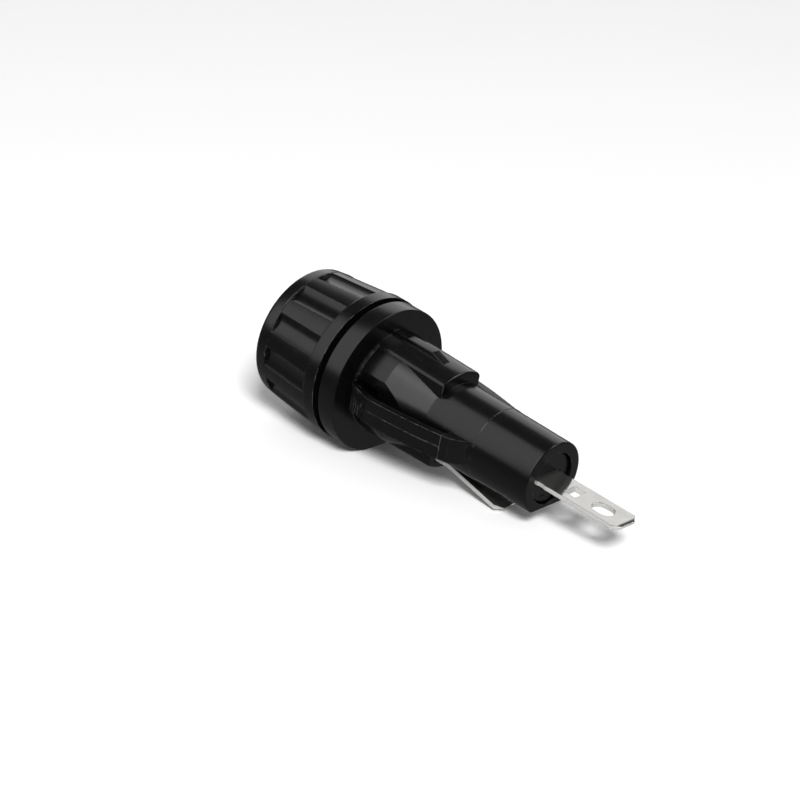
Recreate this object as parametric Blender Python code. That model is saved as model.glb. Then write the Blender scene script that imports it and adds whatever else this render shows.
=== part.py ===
"""Snap-in panel holder for a 6.3 x 32 mm cartridge fuse, with its bayonet cap and its fuse.

Lengths are in metres. The holder's axis is X: the cap is towards -X and the terminals towards +X.
The origin is on the axis, in the face of the flange that rests on the panel. +Z is up, through the
long rib that keys the barrel in its panel hole. The two snap arms are at -Y and +Y.
"""

from math import asin, atan2, cos, degrees, pi, radians, sin

import bmesh
import bpy
from mathutils import Matrix, Vector

MM = 0.001
ROUND = 64
FAR = 16.0 * MM

# Fuse: 6.3 x 32 mm.
FUSE_RADIUS = 3.15 * MM
FUSE_LENGTH = 32.0 * MM
FUSE_FRONT = -7.7 * MM
FUSE_REAR = FUSE_FRONT + FUSE_LENGTH
FUSE_CAP_LENGTH = 7.0 * MM

# Flange, barrel and tail.
FLANGE_RADIUS = 14.0 * MM
FLANGE_FRONT = -3.8 * MM
BARREL_RADIUS = 9.6 * MM
CONE_FRONT = 6.3 * MM
CONE_REAR = 15.8 * MM
TAIL_RADIUS = 7.3 * MM
RING_X = 27.1 * MM
RING_STEP = 0.07 * MM
TAIL_END = 40.0 * MM
TAIL_END_RADIUS = 6.95 * MM
TAIL_FLAT_Z = -5.56 * MM
SIDE_FLAT_Y = 8.33 * MM
SIDE_FLAT_END = 12.9 * MM

# Keys at the top and bottom of the barrel, and the rib on the top one.
KEY_HALF_WIDTH = 4.76 * MM
KEY_START = -0.3 * MM
KEY_END = 16.65 * MM
KEY_RADIUS_FRONT = 9.88 * MM
KEY_RADIUS_REAR = 9.42 * MM
RIB_HALF_WIDTH = 0.96 * MM
RIB_FOOT_Z = 8.0 * MM
RIB_FRONT_Z = 10.37 * MM
RIB_TOP_Z = 10.57 * MM
RIB_REAR_Z = 9.4 * MM
RIB_STEP = (3.07 * MM, 3.47 * MM)
RIB_SLOPE = (9.7 * MM, 12.93 * MM)
KEY_FOOT_Z = 5.6 * MM

# Bores: the contact ring's, the tail's, and the plug's at the end.
FRONT_BORE = 5.05 * MM
FRONT_BORE_END = 13.0 * MM
TAIL_BORE = 4.35 * MM
TAIL_BORE_START = 13.7 * MM
PLUG_BORE = 4.95 * MM
PLUG_BORE_FRONT = 36.2 * MM

# Bayonet: the cap's lugs drop through two entry slots into a ring groove in the flange.
SOCKET_RADIUS = 8.4 * MM
GROOVE_RADIUS = 9.3 * MM
GROOVE_FRONT = -2.6 * MM
SOCKET_FLOOR = -0.6 * MM
ENTRY_RADIUS = 9.15 * MM
ENTRY_HALF_ANGLE = 19
ENTRY_FLOOR = -1.6 * MM
LUG_RADIUS = 8.8 * MM
LUG_HALF_ANGLE = 14
LUG_FRONT = -2.3 * MM
LUG_REAR = -1.45 * MM

# Cap.
CAP_FRONT = -22.0 * MM
CAP_REAR = -5.0 * MM
RIM_REAR = -18.93 * MM
COLLAR_FRONT = -7.6 * MM
LAND_RADIUS_FRONT = 13.11 * MM
LAND_RADIUS_REAR = 14.1 * MM
COLLAR_RADIUS = 14.17 * MM
SKIRT_BORE_REAR = 12.1 * MM
SKIRT_BORE_FRONT = 11.1 * MM
HUB_RADIUS = 8.53 * MM
KNOB_FLOOR = -18.4 * MM
GRIP_GROOVES = 12
GRIP_TURN = 1.7
GROOVE_ARC = 5.9 * MM
GROOVE_HALF_CHORD = 2.0 * MM
GROOVE_SIDES = 44
CHAMBER_RADIUS = 7.07 * MM
CHAMBER_SHOULDER = -8.9 * MM
CHAMBER_FRONT_RADIUS = 5.3 * MM
CHAMBER_FRONT = -19.4 * MM
SLEEVE_FRONT = -7.7 * MM
SLEEVE_SHOULDER = -4.6 * MM
SLEEVE_REAR = -1.4 * MM
SLEEVE_BORE = 4.25 * MM
SLEEVE_RADIUS = 6.7 * MM
SPIGOT_RADIUS = 8.0 * MM

# Contacts round the two ends of the fuse.
CLIP_BORE = 3.45 * MM
CLIP_RADIUS = 3.85 * MM
CLIP_FLANGE_RADIUS = 6.3 * MM
CLIP_FRONT = -8.6 * MM
CLIP_FLOOR = -8.0 * MM
CLIP_REAR = 9.2 * MM
RING_BORE = 4.15 * MM
RING_RADIUS = 4.75 * MM
CUP_FRONT = 18.0 * MM
CUP_REAR = 34.1 * MM
SHANK_RADIUS = 1.0 * MM
SLIT_HALF_WIDTH = 0.4 * MM
SLIT_REACH = 6.0 * MM
CLIP_SLIT_FRONT = 1.0 * MM
CUP_SLIT_LENGTH = 6.5 * MM

# Terminals: 6.35 x 0.8 mm quick-connect tabs.
TAB_WIDTH = 6.35 * MM
TAB_THICKNESS = 0.8 * MM
TAB_CHAMFER_LENGTH = 1.2 * MM
TAB_CHAMFER_WIDTH = 1.45 * MM
REAR_TAB_TIP = 57.6 * MM
REAR_TAB_Y = -0.68 * MM
REAR_TAB_Z = 0.14 * MM
LEG_HALF_WIDTH = 1.6 * MM
LEG_X = 34.87 * MM
LEG_BOTTOM_Z = -3.1 * MM
LEG_TOP_Z = 3.2 * MM
WINDOW_LOW = (44.5 * MM, -2.17 * MM)
WINDOW_HIGH = (47.2 * MM, 0.72 * MM)
EYE_FRONT = 50.0 * MM
EYE_REAR = 54.6 * MM
EYE_Y = -0.81 * MM
EYE_HALF_WIDTH = 1.59 * MM
BLADE_ROOT_X = 36.73 * MM
SIDE_TAB_BEND_X = 19.7 * MM
SIDE_TAB_Z = -6.93 * MM
SIDE_TAB_TIP = (32.4 * MM, -9.62 * MM)
SIDE_TAB_SLOT_HALF = TAB_WIDTH / 2 + 0.3 * MM
SLOT_X = (7.0 * MM, 18.0 * MM)
SLOT_Z = (-7.65 * MM, -6.2 * MM)
CONTACT_ROOM_X = (1.6 * MM, 9.0 * MM)
CONTACT_ROOM_Z = (-7.62 * MM, -4.0 * MM)

# Snap arms.
ARM_HALF_WIDTH = 2.36 * MM
ARM_THICKNESS = 1.3 * MM
ARM_TIP = (0.4 * MM, 10.3 * MM)
ARM_CREST = (5.7 * MM, 11.86 * MM)
ARM_END = (21.6 * MM, 9.75 * MM)
ARM_BULGE = 0.37 * MM
ARM_TEETH = 6
TOOTH_DEPTH = 0.16 * MM
ARM_HINGE = (21.8 * MM, 9.1 * MM)
ARM_ROOT = ((22.0, 6.3), (22.0, 9.7), (23.6, 9.27), (25.9, 7.33), (26.3, 6.3))
POCKET_END = 5.3 * MM
POCKET_FLOOR_Y = 6.7 * MM
POCKET_MOUTH_Y = 11.5 * MM
POCKET_HALF_WIDTH = 2.7 * MM


# ---- helpers -------------------------------------------------------------------------------


def clear_scene():
    for thing in list(bpy.data.objects):
        bpy.data.objects.remove(thing, do_unlink=True)


def material(name, colour, roughness, metallic=0.0, transmission=0.0):
    made = bpy.data.materials.new(name)
    made.use_nodes = True
    shader = made.node_tree.nodes["Principled BSDF"]
    shader.inputs["Base Color"].default_value = (*colour, 1.0)
    shader.inputs["Roughness"].default_value = roughness
    shader.inputs["Metallic"].default_value = metallic
    shader.inputs["Transmission Weight"].default_value = transmission
    return made


def finish_mesh(name, bm, origin=(0.0, 0.0, 0.0)):
    """The bmesh as an object whose origin is at the given point, with its faces pointing out."""
    bmesh.ops.remove_doubles(bm, verts=bm.verts, dist=1e-7)
    bmesh.ops.recalc_face_normals(bm, faces=bm.faces)
    bm.transform(Matrix.Translation(-Vector(origin)))
    mesh = bpy.data.meshes.new(name)
    bm.to_mesh(mesh)
    bm.free()
    made = bpy.data.objects.new(name, mesh)
    made.location = origin
    bpy.context.scene.collection.objects.link(made)
    return made


def dress(thing, finish, smooth_degrees=30):
    thing.data.materials.append(finish)
    thing.data.shade_smooth()
    thing.data.set_sharp_from_angle(angle=radians(smooth_degrees))
    return thing


def turned(name, profile, segments=ROUND):
    """A solid turned about the X axis from (x, radius) points. A profile whose ends are both on
    the axis makes a full solid, and any other one closes on itself into a ring or a tube."""
    bm = bmesh.new()
    verts = [bm.verts.new((x, 0.0, r)) for x, r in profile]
    pairs = list(zip(verts, verts[1:]))
    if profile[0][1] > 0.0 or profile[-1][1] > 0.0:
        pairs.append((verts[-1], verts[0]))
    edges = [bm.edges.new(pair) for pair in pairs]
    bmesh.ops.spin(
        bm,
        geom=verts + edges,
        cent=(0, 0, 0),
        axis=(1, 0, 0),
        angle=2 * pi,
        steps=segments,
        use_merge=True,
    )
    return finish_mesh(name, bm)


def lofted(name, sections):
    """A solid between outlines across X: (x, [(y, z), ...]) with equal point counts."""
    bm = bmesh.new()
    rings = [[bm.verts.new((x, y, z)) for y, z in outline] for x, outline in sections]
    for ring, following in zip(rings, rings[1:]):
        for i, vert in enumerate(ring):
            j = (i + 1) % len(ring)
            bm.faces.new((vert, ring[j], following[j], following[i]))
    bm.faces.new(rings[0])
    bm.faces.new(rings[-1])
    return finish_mesh(name, bm)


def extruded(name, outline, low, high, axis="Z", origin=(0.0, 0.0, 0.0)):
    """An (x, y) outline extruded along Z, or an (x, z) outline extruded along Y."""

    def place(a, b, c):
        return (a, b, c) if axis == "Z" else (a, c, b)

    bm = bmesh.new()
    face = bm.faces.new([bm.verts.new(place(a, b, low)) for a, b in outline])
    moved = bmesh.ops.extrude_face_region(bm, geom=[face])["geom"]
    top = [v for v in moved if isinstance(v, bmesh.types.BMVert)]
    bmesh.ops.translate(bm, vec=Vector(place(0.0, 0.0, high - low)), verts=top)
    return finish_mesh(name, bm, origin)


def block(name, low, high):
    across = [(low[1], low[2]), (high[1], low[2]), (high[1], high[2]), (low[1], high[2])]
    return lofted(name, [(low[0], across), (high[0], across)])


def boolean(target, operation, *tools):
    """Adds or cuts the tools, which stay in the file as hidden guides."""
    for tool in tools:
        step = target.modifiers.new(tool.name, "BOOLEAN")
        step.operation = operation
        step.solver = "EXACT"
        step.object = tool
        tool.hide_render = True
        tool.display_type = "WIRE"


def arc(radius, start_degrees, end_degrees, steps):
    """(y, z) points on a circle about the X axis, by angle from +Z towards +Y."""
    turn = end_degrees - start_degrees
    angles = [radians(start_degrees + turn * i / steps) for i in range(steps + 1)]
    return [(radius * sin(a), radius * cos(a)) for a in angles]


def sector(name, x_low, x_high, inner, outer, middle_degrees, half_degrees, steps=8):
    """A piece of a ring about the X axis."""
    start = middle_degrees - half_degrees
    end = middle_degrees + half_degrees
    outline = arc(outer, start, end, steps) + arc(inner, end, start, steps)
    return lofted(name, [(x_low, outline), (x_high, outline)])


def strip(name, path, thickness, y_low, y_high):
    """A bent flat strip: its middle line is an (x, z) path, and its corners are mitred."""
    sides = []
    for i, (x, z) in enumerate(path):
        before = path[max(i - 1, 0)]
        after = path[min(i + 1, len(path) - 1)]
        out = atan2(after[1] - z, after[0] - x) if i < len(path) - 1 else 0.0
        into = atan2(z - before[1], x - before[0]) if i else out
        if i == len(path) - 1:
            out = into
        turn = (out - into + pi) % (2 * pi) - pi
        normal = into + turn / 2 + pi / 2
        reach = thickness / 2 / cos(turn / 2)
        sides.append((reach * cos(normal), reach * sin(normal)))
    upper = [(x + dx, z + dz) for (x, z), (dx, dz) in zip(path, sides)]
    lower = [(x - dx, z - dz) for (x, z), (dx, dz) in zip(path, sides)]
    return extruded(name, upper + lower[::-1], y_low, y_high, axis="Y")


# ---- the moulded body ----------------------------------------------------------------------


def key_outline(radius, sign):
    """Across X: the key's round top between its two flat sides, down to inside the barrel."""
    half = degrees(asin(KEY_HALF_WIDTH / radius))
    points = arc(radius, -half, half, 9)
    points += [(KEY_HALF_WIDTH, KEY_FOOT_Z), (-KEY_HALF_WIDTH, KEY_FOOT_Z)]
    return [(y * sign, z * sign) for y, z in points]


def key(sign):
    front = (KEY_START, key_outline(KEY_RADIUS_FRONT, sign))
    rear = (KEY_END, key_outline(KEY_RADIUS_REAR, sign))
    return lofted(f"guide_key_{sign}", [front, rear])


def rib():
    """The long rib on the top key: a small step near the flange, and a slope at its rear."""
    outline = [
        (KEY_START, RIB_FOOT_Z),
        (KEY_START, RIB_FRONT_Z),
        (RIB_STEP[0], RIB_FRONT_Z),
        (RIB_STEP[1], RIB_TOP_Z),
        (RIB_SLOPE[0], RIB_TOP_Z),
        (RIB_SLOPE[1], RIB_REAR_Z),
        (RIB_SLOPE[1], RIB_FOOT_Z),
    ]
    return extruded("guide_rib", outline, -RIB_HALF_WIDTH, RIB_HALF_WIDTH, axis="Y")


def arm_root(side):
    """The block that a snap arm grows from, with its bevelled rear end."""
    outline = [(x * MM, side * y * MM) for x, y in ARM_ROOT]
    return extruded(f"guide_arm_root_{side}", outline, -ARM_HALF_WIDTH, ARM_HALF_WIDTH)


def side_block(name, side, x_low, x_high, y_near, y_far, half_height):
    """A block on one side of the axis, for a cut at -Y or +Y."""
    y_low, y_high = sorted((side * y_near, side * y_far))
    return block(name, (x_low, y_low, -half_height), (x_high, y_high, half_height))


def holder_body(finish):
    outside = [
        (FLANGE_FRONT, SOCKET_RADIUS),
        (FLANGE_FRONT, FLANGE_RADIUS),
        (0.0, FLANGE_RADIUS),
        (0.0, BARREL_RADIUS),
        (CONE_FRONT, BARREL_RADIUS),
        (CONE_REAR, TAIL_RADIUS),
        (RING_X, TAIL_RADIUS - RING_STEP),
        (RING_X + RING_STEP, TAIL_RADIUS - 2 * RING_STEP),
        (TAIL_END, TAIL_END_RADIUS),
    ]
    inside = [
        (TAIL_END, PLUG_BORE),
        (PLUG_BORE_FRONT, PLUG_BORE),
        (PLUG_BORE_FRONT, TAIL_BORE),
        (TAIL_BORE_START, TAIL_BORE),
        (FRONT_BORE_END, FRONT_BORE),
        (SOCKET_FLOOR, FRONT_BORE),
        (SOCKET_FLOOR, GROOVE_RADIUS),
        (GROOVE_FRONT, GROOVE_RADIUS),
        (GROOVE_FRONT, SOCKET_RADIUS),
    ]
    body = turned("holder_body", outside + inside)
    off_flange = 0.02 * MM
    for side in (-1, 1):
        name = f"guide_flat_{side}"
        flat = side_block(name, side, off_flange, SIDE_FLAT_END, SIDE_FLAT_Y, FAR, FAR)
        boolean(body, "DIFFERENCE", flat)
    boolean(body, "UNION", key(-1), key(1), rib(), arm_root(-1), arm_root(1))
    beyond = 2.0 * MM
    tail_low = (KEY_END + off_flange, -FAR, -FAR)
    tail_flat = block("guide_tail_flat", tail_low, (TAIL_END + beyond, FAR, TAIL_FLAT_Z))
    entries = []
    for at in (0, 180):
        ends = (FLANGE_FRONT - 1.2 * MM, ENTRY_FLOOR)
        inner = SOCKET_RADIUS - 0.9 * MM
        entries.append(sector(f"guide_entry_{at}", *ends, inner, ENTRY_RADIUS, at, ENTRY_HALF_ANGLE))
    half = SIDE_TAB_SLOT_HALF
    slot = block("guide_slot", (SLOT_X[0], -half, SLOT_Z[0]), (SLOT_X[1], half, SLOT_Z[1]))
    room_low = (CONTACT_ROOM_X[0], -half, CONTACT_ROOM_Z[0])
    room = block("guide_contact_room", room_low, (CONTACT_ROOM_X[1], half, CONTACT_ROOM_Z[1]))
    boolean(body, "DIFFERENCE", tail_flat, *entries, slot, room)
    start = 0.03 * MM
    for side in (-1, 1):
        reach = (POCKET_FLOOR_Y, POCKET_MOUTH_Y, POCKET_HALF_WIDTH)
        pocket = side_block(f"guide_pocket_{side}", side, start, POCKET_END, *reach)
        boolean(body, "DIFFERENCE", pocket)
    return dress(body, finish)


def arm_line(steps, drop):
    """The arm's back from its crest to its root, as a slightly bulged line, lowered by drop."""
    points = []
    for i in range(steps + 1):
        along = i / steps
        x = ARM_CREST[0] + (ARM_END[0] - ARM_CREST[0]) * along
        y = ARM_CREST[1] + (ARM_END[1] - ARM_CREST[1]) * along
        points.append((x, y + 4 * ARM_BULGE * along * (1 - along) - drop))
    return points


def arm_ramp():
    """The toothed ramp from the arm's free end up to its crest."""
    run = (ARM_CREST[0] - ARM_TIP[0]) / (ARM_TEETH + 1)
    rise = (ARM_CREST[1] - ARM_TIP[1]) / (ARM_TEETH + 1)
    points = [ARM_TIP]
    for i in range(ARM_TEETH):
        x = ARM_TIP[0] + run * (i + 1)
        y = ARM_TIP[1] + rise * (i + 1)
        points.append((x, y))
        points.append((x + 0.15 * run, y - TOOTH_DEPTH))
    return points


def snap_arm(name, side, finish):
    """A springy arm, hinged at its root about a line along Z."""
    outline = arm_ramp() + arm_line(8, 0.0) + arm_line(8, ARM_THICKNESS)[::-1]
    outline.append((ARM_TIP[0], ARM_TIP[1] - 0.9 * MM))
    points = [(x, side * y) for x, y in outline]
    hinge = (ARM_HINGE[0], side * ARM_HINGE[1], 0.0)
    arm = extruded(name, points, -ARM_HALF_WIDTH, ARM_HALF_WIDTH, origin=hinge)
    return dress(arm, finish, 20)


def rear_plug(finish):
    """The round plug that closes the tail, with a slot for the rear terminal."""
    front = 37.5 * MM
    rear = 39.4 * MM
    radius = PLUG_BORE - 0.3 * MM
    plug = turned("rear_plug", [(front, 0.0), (front, radius), (rear, radius), (rear, 0.0)], 48)
    half = TAB_WIDTH / 2 + 0.25 * MM
    rise = TAB_THICKNESS / 2 + 0.25 * MM
    low = (front - 1.0 * MM, REAR_TAB_Y - half, REAR_TAB_Z - rise)
    high = (rear + 1.0 * MM, REAR_TAB_Y + half, REAR_TAB_Z + rise)
    boolean(plug, "DIFFERENCE", block("guide_plug_slot", low, high))
    return dress(plug, finish)


# ---- terminals and contacts ----------------------------------------------------------------


def tip_corners(name, tip, y_middle, z_low, z_high):
    """Two wedges that take the corners off the tip of a tab."""
    tools = []
    beyond = 1.0 * MM
    slope = TAB_CHAMFER_WIDTH / TAB_CHAMFER_LENGTH
    for side in (-1, 1):
        edge = y_middle + side * TAB_WIDTH / 2
        outline = [
            (tip - TAB_CHAMFER_LENGTH - beyond, edge + side * beyond * slope),
            (tip + beyond, edge - side * (TAB_CHAMFER_WIDTH + beyond * slope)),
            (tip + beyond, edge + side * beyond * slope),
        ]
        tools.append(extruded(f"guide_{name}_{side}", outline, z_low, z_high))
    return tools


def obround(name, x_low, x_high, y_middle, half_width):
    outline = []
    for centre, start in ((x_high - half_width, -90), (x_low + half_width, 90)):
        for i in range(9):
            angle = radians(start + 180 * i / 8)
            outline.append((centre + half_width * cos(angle), y_middle + half_width * sin(angle)))
    return extruded(name, outline, -2.0 * MM, 2.0 * MM)


def rear_terminal(finish):
    """The rear tab: a flat blade outside, folded into a leg inside the tail."""
    path = [
        (REAR_TAB_TIP, REAR_TAB_Z),
        (BLADE_ROOT_X, REAR_TAB_Z),
        (BLADE_ROOT_X, LEG_BOTTOM_Z),
        (LEG_X, LEG_BOTTOM_Z),
        (LEG_X, LEG_TOP_Z),
    ]
    y_low = REAR_TAB_Y - TAB_WIDTH / 2
    tab = strip("rear_terminal", path, TAB_THICKNESS, y_low, y_low + TAB_WIDTH)
    hole_radius = SHANK_RADIUS + 0.3 * MM
    hole_ends = (LEG_X - 1.0 * MM, LEG_X + 0.7 * MM)
    hole = turned(
        "guide_rivet_hole",
        [(hole_ends[0], 0.0), (hole_ends[0], hole_radius), (hole_ends[1], hole_radius), (hole_ends[1], 0.0)],
        24,
    )
    trim = (LEG_X - 1.87 * MM, BLADE_ROOT_X + 0.57 * MM, LEG_HALF_WIDTH, TAB_WIDTH, TAB_WIDTH)
    through = 2.0 * MM
    boolean(
        tab,
        "DIFFERENCE",
        side_block("guide_leg_left", -1, *trim),
        side_block("guide_leg_right", 1, *trim),
        hole,
        block("guide_window", (*WINDOW_LOW, -through), (*WINDOW_HIGH, through)),
        obround("guide_eye", EYE_FRONT, EYE_REAR, EYE_Y, EYE_HALF_WIDTH),
        *tip_corners("rear_tip", REAR_TAB_TIP, REAR_TAB_Y, -2.0 * MM, 2.0 * MM),
    )
    return dress(tab, finish)


def side_terminal(finish):
    """The side tab: inside it bows up to the contact ring, outside it bends off the tail."""
    path = [
        (2.2 * MM, -5.95 * MM),
        (4.2 * MM, -5.47 * MM),
        (6.2 * MM, -6.1 * MM),
        (8.0 * MM, SIDE_TAB_Z),
        (SIDE_TAB_BEND_X, SIDE_TAB_Z),
        SIDE_TAB_TIP,
    ]
    tab = strip("side_terminal", path, TAB_THICKNESS, -TAB_WIDTH / 2, TAB_WIDTH / 2)
    corners = tip_corners("side_tip", SIDE_TAB_TIP[0], 0.0, -12 * MM, -7.5 * MM)
    boolean(tab, "DIFFERENCE", *corners)
    return dress(tab, finish)


def front_contact_ring(finish):
    """The ring in the barrel that the cap's clip slides in."""
    front = 0.6 * MM
    rear = 9.4 * MM
    profile = [(front, RING_RADIUS), (rear, RING_RADIUS), (rear, RING_BORE), (front, RING_BORE)]
    return dress(turned("front_contact_ring", profile, 48), finish)


def slit(tube, front, rear):
    """Two crossed slits that part the tube's wall into four springy fingers."""
    wide = SLIT_REACH
    thin = SLIT_HALF_WIDTH
    flat = block(f"guide_{tube.name}_slit_flat", (front, -wide, -thin), (rear, wide, thin))
    upright = block(f"guide_{tube.name}_slit_up", (front, -thin, -wide), (rear, thin, wide))
    boolean(tube, "DIFFERENCE", flat, upright)


def rear_contact_cup(finish):
    """The cup round the rear of the fuse. Its shank is riveted through the terminal's leg."""
    leg_rear = LEG_X + TAB_THICKNESS / 2
    head_front = leg_rear + 0.25 * MM
    cup = turned(
        "rear_contact_cup",
        [
            (CUP_FRONT, CLIP_BORE),
            (CUP_FRONT, CLIP_RADIUS),
            (CUP_REAR, CLIP_RADIUS),
            (CUP_REAR, SHANK_RADIUS),
            (head_front, SHANK_RADIUS),
            (head_front, 1.8 * MM),
            (head_front + 0.3 * MM, 1.6 * MM),
            (head_front + 0.5 * MM, 1.0 * MM),
            (head_front + 0.5 * MM, 0.0),
            (CUP_REAR - 0.7 * MM, 0.0),
            (CUP_REAR - 0.7 * MM, CLIP_BORE),
        ],
        48,
    )
    slit(cup, CUP_FRONT - MM, CUP_FRONT + CUP_SLIT_LENGTH)
    return dress(cup, finish)


def rear_spring(finish):
    """The coil spring that presses the fuse forward, into the cap."""
    front = FUSE_REAR + 0.7 * MM
    rear = CUP_REAR - 1.4 * MM
    coil = 2.4 * MM
    turns = 5
    steps = 16 * turns
    curve = bpy.data.curves.new("rear_spring", "CURVE")
    curve.dimensions = "3D"
    curve.bevel_depth = 0.32 * MM
    curve.bevel_resolution = 2
    curve.use_fill_caps = True
    line = curve.splines.new("POLY")
    line.points.add(steps)
    for i, point in enumerate(line.points):
        angle = 2 * pi * turns * i / steps
        along = front + (rear - front) * i / steps
        point.co = (along, coil * sin(angle), coil * cos(angle), 1.0)
    curve.materials.append(finish)
    made = bpy.data.objects.new("rear_spring", curve)
    bpy.context.scene.collection.objects.link(made)
    return made


# ---- cap -----------------------------------------------------------------------------------


def grip_groove(index):
    """The round cutter of one grip groove, which follows the slope of the lands."""
    turn = radians(GRIP_TURN + 360 / GRIP_GROOVES * index)
    ends = (
        (RIM_REAR + 0.03 * MM, LAND_RADIUS_FRONT),
        (COLLAR_FRONT - 0.03 * MM, LAND_RADIUS_REAR),
    )
    sections = []
    for x, land in ends:
        centre = (land**2 - GROOVE_HALF_CHORD**2) ** 0.5
        centre += (GROOVE_ARC**2 - GROOVE_HALF_CHORD**2) ** 0.5
        outline = []
        for i in range(GROOVE_SIDES):
            angle = 2 * pi * i / GROOVE_SIDES
            y = GROOVE_ARC * sin(angle)
            z = centre + GROOVE_ARC * cos(angle)
            outline.append((y * cos(turn) - z * sin(turn), y * sin(turn) + z * cos(turn)))
        sections.append((x, outline))
    return lofted(f"guide_grip_{index}", sections)


def cap_knob(finish):
    knob = turned(
        "cap_knob",
        [
            (CAP_FRONT, 0.0),
            (CAP_FRONT, 11.7 * MM),
            (CAP_FRONT + 0.09 * MM, 12.12 * MM),
            (CAP_FRONT + 0.37 * MM, 12.5 * MM),
            (CAP_FRONT + 1.0 * MM, 12.85 * MM),
            (RIM_REAR, LAND_RADIUS_FRONT),
            (COLLAR_FRONT, LAND_RADIUS_REAR),
            (COLLAR_FRONT + 0.13 * MM, COLLAR_RADIUS),
            (CAP_REAR, COLLAR_RADIUS),
            (CAP_REAR, SKIRT_BORE_REAR),
            (KNOB_FLOOR, SKIRT_BORE_FRONT),
            (KNOB_FLOOR, HUB_RADIUS + 0.07 * MM),
            (CAP_REAR, HUB_RADIUS),
            (CAP_REAR, CHAMBER_RADIUS),
            (CHAMBER_SHOULDER, CHAMBER_RADIUS),
            (CHAMBER_SHOULDER, CHAMBER_FRONT_RADIUS),
            (CHAMBER_FRONT, CHAMBER_FRONT_RADIUS),
            (CHAMBER_FRONT, 0.0),
        ],
        72,
    )
    boolean(knob, "DIFFERENCE", *[grip_groove(i) for i in range(GRIP_GROOVES)])
    return dress(knob, finish, 25)


def bayonet_sleeve(finish):
    """Pressed into the knob: it traps the clip and carries the two bayonet lugs."""
    sleeve = turned(
        "bayonet_sleeve",
        [
            (SLEEVE_FRONT, SLEEVE_BORE),
            (SLEEVE_FRONT, SLEEVE_RADIUS),
            (SLEEVE_SHOULDER, SLEEVE_RADIUS),
            (SLEEVE_SHOULDER, SPIGOT_RADIUS),
            (SLEEVE_REAR, SPIGOT_RADIUS),
            (SLEEVE_REAR, SLEEVE_BORE),
        ],
    )
    inner = SPIGOT_RADIUS - 0.6 * MM
    lugs = []
    for at in (0, 180):
        name = f"guide_lug_{at}"
        lugs.append(sector(name, LUG_FRONT, LUG_REAR, inner, LUG_RADIUS, at, LUG_HALF_ANGLE))
    boolean(sleeve, "UNION", *lugs)
    return dress(sleeve, finish)


def front_clip(finish):
    """The metal cup that holds the front of the fuse, slit into four springy fingers."""
    clip = turned(
        "front_clip",
        [
            (CLIP_FRONT, 0.0),
            (CLIP_FRONT, CLIP_FLANGE_RADIUS),
            (CLIP_FLOOR, CLIP_FLANGE_RADIUS),
            (CLIP_FLOOR, CLIP_RADIUS),
            (CLIP_REAR, CLIP_RADIUS),
            (CLIP_REAR, CLIP_BORE),
            (CLIP_FLOOR, CLIP_BORE),
            (CLIP_FLOOR, 0.0),
        ],
        48,
    )
    slit(clip, CLIP_SLIT_FRONT, CLIP_REAR + MM)
    return dress(clip, finish)


# ---- fuse ----------------------------------------------------------------------------------


def fuse_cap(name, end, towards, finish):
    """A metal end cap: a cup open towards the middle of the fuse."""
    wall = 0.3 * MM
    edge = 0.25 * MM
    rim = end + towards * FUSE_CAP_LENGTH
    floor = end + towards * 0.4 * MM
    profile = [
        (end, 0.0),
        (end, FUSE_RADIUS - edge),
        (end + towards * edge, FUSE_RADIUS),
        (rim, FUSE_RADIUS),
        (rim, FUSE_RADIUS - wall),
        (floor, FUSE_RADIUS - wall),
        (floor, 0.0),
    ]
    return dress(turned(name, profile, 48), finish)


def fuse_tube(finish):
    low = FUSE_FRONT + 0.7 * MM
    high = FUSE_REAR - 0.7 * MM
    outer = FUSE_RADIUS - 0.6 * MM
    inner = 1.9 * MM
    profile = [(low, outer), (high, outer), (high, inner), (low, inner)]
    return dress(turned("fuse_tube", profile, 48), finish)


def fuse_element(finish):
    low = FUSE_FRONT + 0.75 * MM
    high = FUSE_REAR - 0.75 * MM
    radius = 0.22 * MM
    profile = [(low, 0.0), (low, radius), (high, radius), (high, 0.0)]
    return dress(turned("fuse_element", profile, 12), finish)


def main():
    clear_scene()
    black = material("black_plastic", (0.004, 0.004, 0.004), 0.24)
    tin = material("tinned_metal", (0.62, 0.61, 0.59), 0.12, metallic=1.0)
    nickel = material("plated_brass", (0.74, 0.71, 0.64), 0.3, metallic=1.0)
    steel = material("spring_steel", (0.5, 0.5, 0.5), 0.3, metallic=1.0)
    glass = material("fuse_glass", (0.86, 0.9, 0.88), 0.05, transmission=0.95)
    holder_body(black)
    snap_arm("snap_arm_left", -1, black)
    snap_arm("snap_arm_right", 1, black)
    rear_plug(black)
    rear_terminal(tin)
    side_terminal(tin)
    front_contact_ring(nickel)
    rear_contact_cup(nickel)
    rear_spring(steel)
    cap_knob(black)
    bayonet_sleeve(black)
    front_clip(nickel)
    fuse_cap("fuse_cap_front", FUSE_FRONT, 1, nickel)
    fuse_cap("fuse_cap_rear", FUSE_REAR, -1, nickel)
    fuse_tube(glass)
    fuse_element(steel)


main()
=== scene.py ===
"""The looks of the panel fuse holder: finer meshes, materials, light, floor and camera.

Lengths are in metres, in the CAD model's frame: X runs along the barrel, from the cap at -X to the
terminals at +X, and +Z is up through the long rib on the top key.
"""

from math import asin, atan2, cos, degrees, pi, radians, sin

import bmesh
import bpy
from mathutils import Matrix, Vector


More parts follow.
